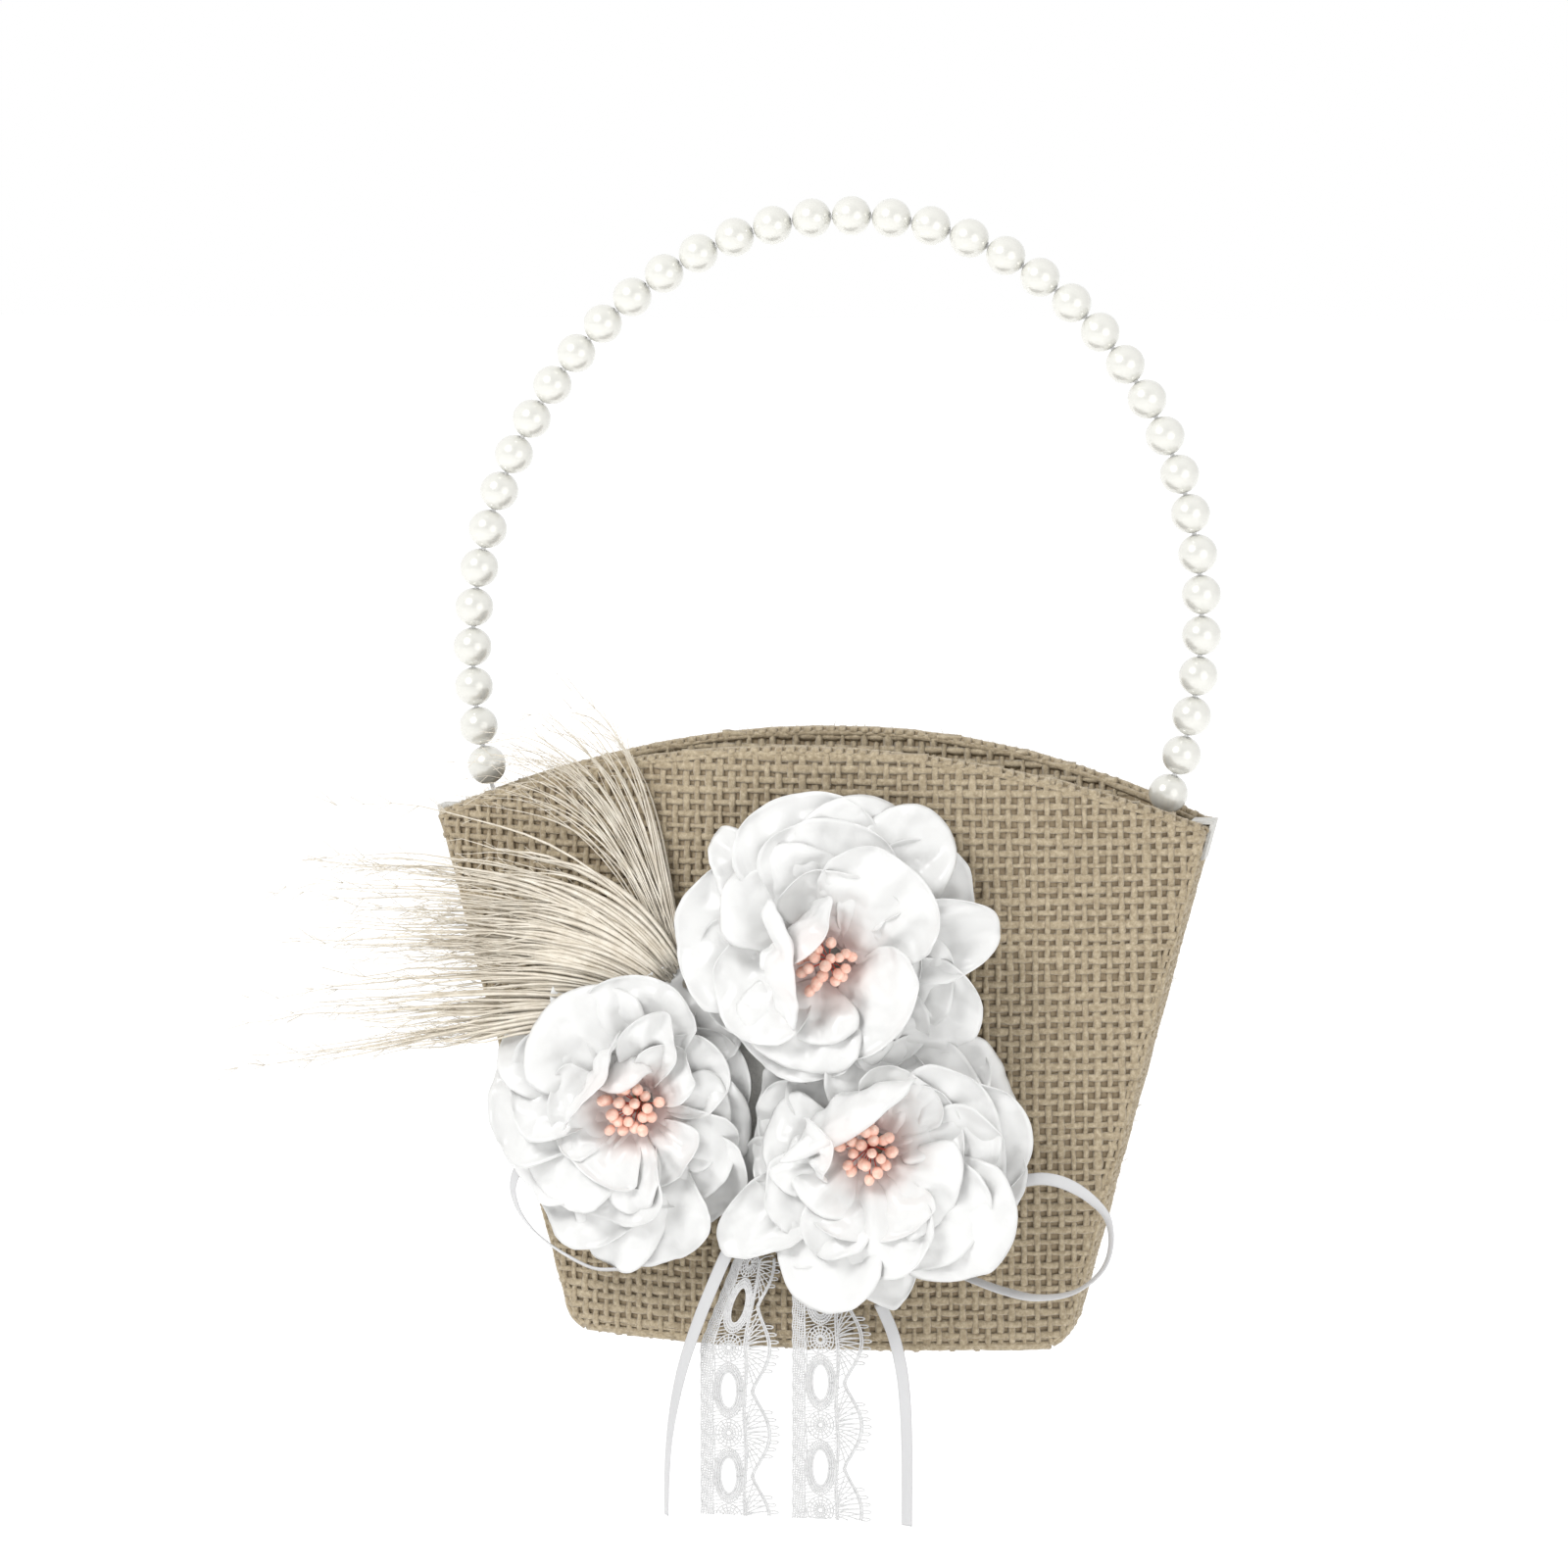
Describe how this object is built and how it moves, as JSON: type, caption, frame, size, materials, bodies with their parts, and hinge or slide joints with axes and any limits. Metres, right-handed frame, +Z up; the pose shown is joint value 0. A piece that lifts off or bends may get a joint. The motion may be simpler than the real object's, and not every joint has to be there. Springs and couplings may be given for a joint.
{
  "type": "flower girl basket",
  "caption": "Small fan-shaped burlap basket with a pearl-strung wire handle and a corsage of satin flowers, feathers, a ribbon bow and lace tails.",
  "frame": {"origin": "the middle of the topmost pearl of the handle, where a hand or hook holds the basket", "axes": "+Z up, front of the basket with its flowers towards -Y, +X to the right seen from the front"},
  "size_m": [0.2469, 0.0782, 0.3262],
  "materials": {
    "burlap": "coarse woven jute",
    "lining": "coarse woven jute",
    "card": "uncoated greyboard",
    "pearl": "pearlescent coating",
    "wire": "plain drawn wire",
    "felt": "matte felt",
    "petal_satin": "heat-curled satin",
    "stamen": "waxed paper pips",
    "feather": "bleached feather",
    "ribbon": "satin ribbon",
    "lace": "cotton lace"
  },
  "bodies": {
    "handle": {"handle_wire": "wire", "pearl_01": "pearl", "pearl_02": "pearl", "pearl_03": "pearl", "pearl_04": "pearl", "pearl_05": "pearl", "pearl_06": "pearl", "pearl_07": "pearl", "pearl_08": "pearl", "pearl_09": "pearl", "pearl_10": "pearl", "pearl_11": "pearl", "pearl_12": "pearl", "pearl_13": "pearl", "pearl_14": "pearl", "pearl_15": "pearl", "pearl_16": "pearl", "pearl_17": "pearl", "pearl_18": "pearl", "pearl_19": "pearl", "pearl_20": "pearl", "pearl_21": "pearl", "pearl_22": "pearl", "pearl_23": "pearl", "pearl_24": "pearl", "pearl_25": "pearl", "pearl_26": "pearl", "pearl_27": "pearl", "pearl_28": "pearl", "pearl_29": "pearl", "pearl_30": "pearl", "pearl_31": "pearl", "pearl_32": "pearl", "pearl_33": "pearl", "pearl_34": "pearl", "pearl_35": "pearl", "pearl_36": "pearl", "pearl_37": "pearl", "pearl_38": "pearl", "pearl_39": "pearl"},
    "basket": {"outer_cover": "burlap", "card_form": "card", "inner_lining": "lining", "anchor_tab_left": "felt", "anchor_tab_right": "felt", "felt_pad": "felt", "flower_top": "petal_satin", "flower_left": "petal_satin", "flower_right": "petal_satin", "stamens_top": "stamen", "stamens_left": "stamen", "stamens_right": "stamen", "feather_upper": "feather", "feather_lower": "feather", "ribbon_loop_left": "ribbon", "ribbon_loop_right": "ribbon"},
    "ribbon_tail_left": {"ribbon_tail_left": "ribbon"},
    "ribbon_tail_right": {"ribbon_tail_right": "ribbon"},
    "lace_left": {"lace_left": "lace"},
    "lace_right": {"lace_right": "lace"}
  },
  "joints": [
    {"name": "basket_swing", "type": "hinge", "parent": "handle", "child": "basket", "pos_m": [-0.00684, 0, -0.152], "axis": [1, 0, 0], "range_deg": [-25, 25]},
    {"name": "ribbon_tail_left_swing", "type": "hinge", "parent": "basket", "child": "ribbon_tail_left", "pos_m": [-0.02524, -0.028, -0.2535], "axis": [-1, 0, 0], "range_deg": [-3, 45]},
    {"name": "ribbon_tail_right_swing", "type": "hinge", "parent": "basket", "child": "ribbon_tail_right", "pos_m": [0.01256, -0.028, -0.266], "axis": [-1, 0, 0], "range_deg": [-3, 45]},
    {"name": "lace_left_swing", "type": "hinge", "parent": "basket", "child": "lace_left", "pos_m": [-0.02294, -0.0252, -0.2555], "axis": [-1, 0, 0], "range_deg": [-2, 45]},
    {"name": "lace_right_swing", "type": "hinge", "parent": "basket", "child": "lace_right", "pos_m": [0.00026, -0.0252, -0.265], "axis": [-1, 0, 0], "range_deg": [-2, 45]}
  ]
}
